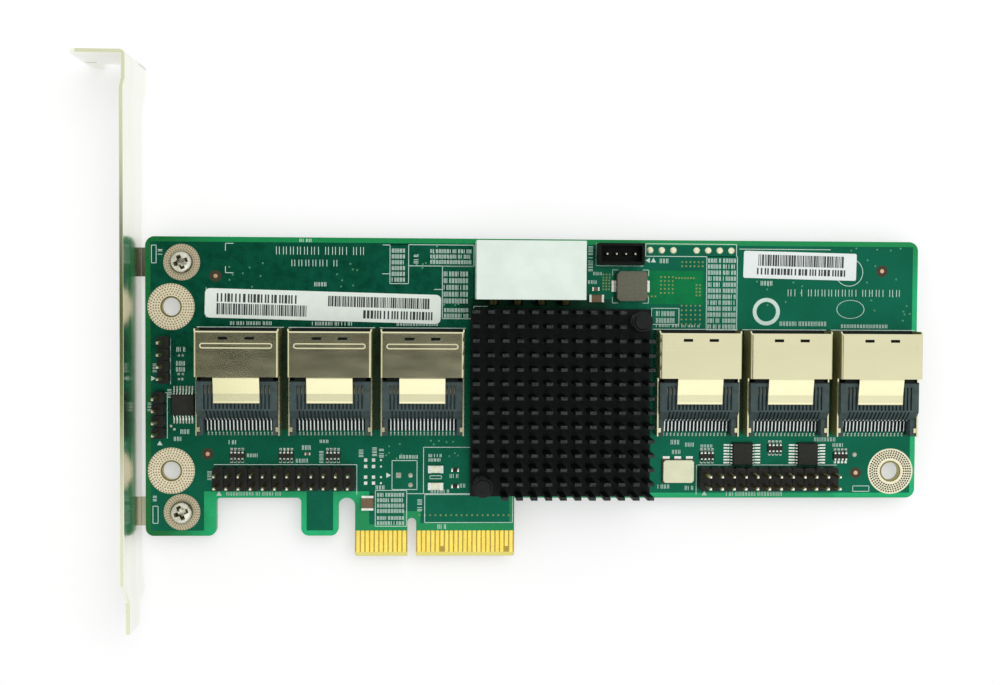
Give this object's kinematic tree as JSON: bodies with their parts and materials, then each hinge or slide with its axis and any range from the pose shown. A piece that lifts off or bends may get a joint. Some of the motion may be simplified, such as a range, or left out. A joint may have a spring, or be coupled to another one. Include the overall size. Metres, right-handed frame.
{
  "type": "storage expander card",
  "caption": "Half-length plug-in storage expander card with a full-height steel bracket, drive-cable ports, a power inlet, pin headers and a black pin-fin heat sink.",
  "frame": {"origin": "key notch's centreline at the lower edge of the edge connector, on the component face", "axes": "+X along the card away from the bracket, +Y to the card's top edge, +Z out of the component face"},
  "size_m": [0.1798, 0.12, 0.0216],
  "materials": {
    "board_laminate": "green solder resist over glass laminate",
    "gold_plating": "hard gold over nickel",
    "bracket_steel": "bright nickel plate",
    "screw_steel": "zinc plate",
    "anodised_aluminium": "black anodised",
    "push_pin_plastic": "moulded nylon",
    "chip_package": "moulded epoxy",
    "thermal_pad": "soft filled pad",
    "port_shell_steel": "satin nickel plate",
    "port_plastic": "moulded, dark blue-grey",
    "tinned_contact": "tin plate",
    "white_plastic": "moulded nylon, off-white",
    "gold_pin": "gold flash",
    "header_plastic": "moulded, brown-black",
    "ferrite": "ground ferrite",
    "ceramic_carrier": "fired ceramic",
    "oscillator_lid": "plated lid",
    "capacitor_ceramic": "fired ceramic, tan",
    "light_lens": "clear epoxy over a pale base",
    "label_paper": "white paper"
  },
  "bodies": {
    "root": {"bracket": "bracket_steel", "bracket_screws": "screw_steel", "capacitor_bodies": "capacitor_ceramic", "capacitor_caps": "tinned_contact", "circuit_board": "board_laminate", "drive_header_left_housing": "header_plastic", "drive_header_left_pins": "gold_pin", "drive_header_right_housing": "header_plastic", "drive_header_right_pins": "gold_pin", "driver_chip_1": "chip_package", "driver_chip_2": "chip_package", "driver_chip_3": "chip_package", "driver_leads_1": "tinned_contact", "driver_leads_2": "tinned_contact", "driver_leads_3": "tinned_contact", "edge_contacts": "gold_plating", "expander_chip": "chip_package", "heat_sink": "anodised_aluminium", "inductor_core": "ferrite", "inductor_terminals": "tinned_contact", "label_left": "label_paper", "label_right": "label_paper", "oscillator_can": "oscillator_lid", "oscillator_carrier": "ceramic_carrier", "port_contacts_1": "tinned_contact", "port_contacts_2": "tinned_contact", "port_contacts_3": "tinned_contact", "port_contacts_4": "tinned_contact", "port_contacts_5": "tinned_contact", "port_contacts_6": "tinned_contact", "port_housing_1": "port_plastic", "port_housing_2": "port_plastic", "port_housing_3": "port_plastic", "port_housing_4": "port_plastic", "port_housing_5": "port_plastic", "port_housing_6": "port_plastic", "port_shell_1": "port_shell_steel", "port_shell_2": "port_shell_steel", "port_shell_3": "port_shell_steel", "port_shell_4": "port_shell_steel", "port_shell_5": "port_shell_steel", "port_shell_6": "port_shell_steel", "power_housing": "white_plastic", "power_pins": "tinned_contact", "push_pins": "push_pin_plastic", "resistor_networks": "chip_package", "side_header_lower_housing": "header_plastic", "side_header_lower_pins": "gold_pin", "side_header_upper_housing": "header_plastic", "side_header_upper_pins": "gold_pin", "signal_housing": "header_plastic", "signal_pins": "gold_pin", "status_lights": "light_lens", "thermal_pad": "thermal_pad"}
  },
  "joints": []
}
